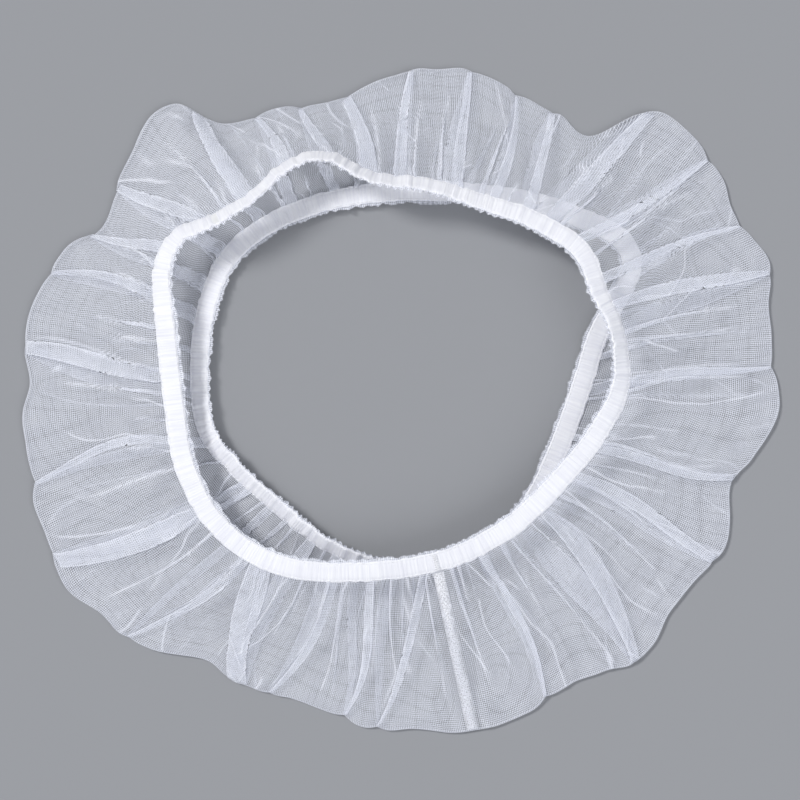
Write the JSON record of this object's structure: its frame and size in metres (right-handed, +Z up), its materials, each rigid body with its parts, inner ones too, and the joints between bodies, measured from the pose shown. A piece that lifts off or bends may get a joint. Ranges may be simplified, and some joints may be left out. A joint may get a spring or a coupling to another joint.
{
  "type": "beekeeping veil",
  "caption": "Sheer white net veil sleeve lying flat: a tube of fine nylon net gathered at both ends by a flat elastic in a sewn casing, with one overlocked side seam.",
  "frame": {"origin": "on the table under the sleeve, at the middle of its outline", "axes": "+Z up, out of the table along the sleeve's own axis; +X along its longest extent; the side seam runs towards -Y"},
  "size_m": [0.6035, 0.5319, 0.0432],
  "materials": {
    "net": "sheer woven nylon net, slightly glossy filaments",
    "casing": "gathered net folded double, matte white",
    "elastic": "woven ribbed elastic, matte white",
    "thread": "spun polyester sewing thread, satin white"
  },
  "bodies": {
    "bottom_band": {"net_sleeve": "net", "side_seam": "casing", "side_seam_overlock": "thread", "bottom_casing": "casing", "bottom_elastic": "elastic", "bottom_hem_stitch": "thread", "bottom_edge_stitch": "thread", "bottom_seam_tack": "thread"},
    "top_band": {"top_casing": "casing", "top_elastic": "elastic", "top_hem_stitch": "thread", "top_edge_stitch": "thread", "top_seam_tack": "thread"}
  },
  "joints": [
    {"name": "top_band_lift", "type": "slide", "parent": "bottom_band", "child": "top_band", "axis": [0, 0, 1], "range_m": [0, 0.1], "deforming": ["net_sleeve", "side_seam", "side_seam_overlock"]}
  ]
}
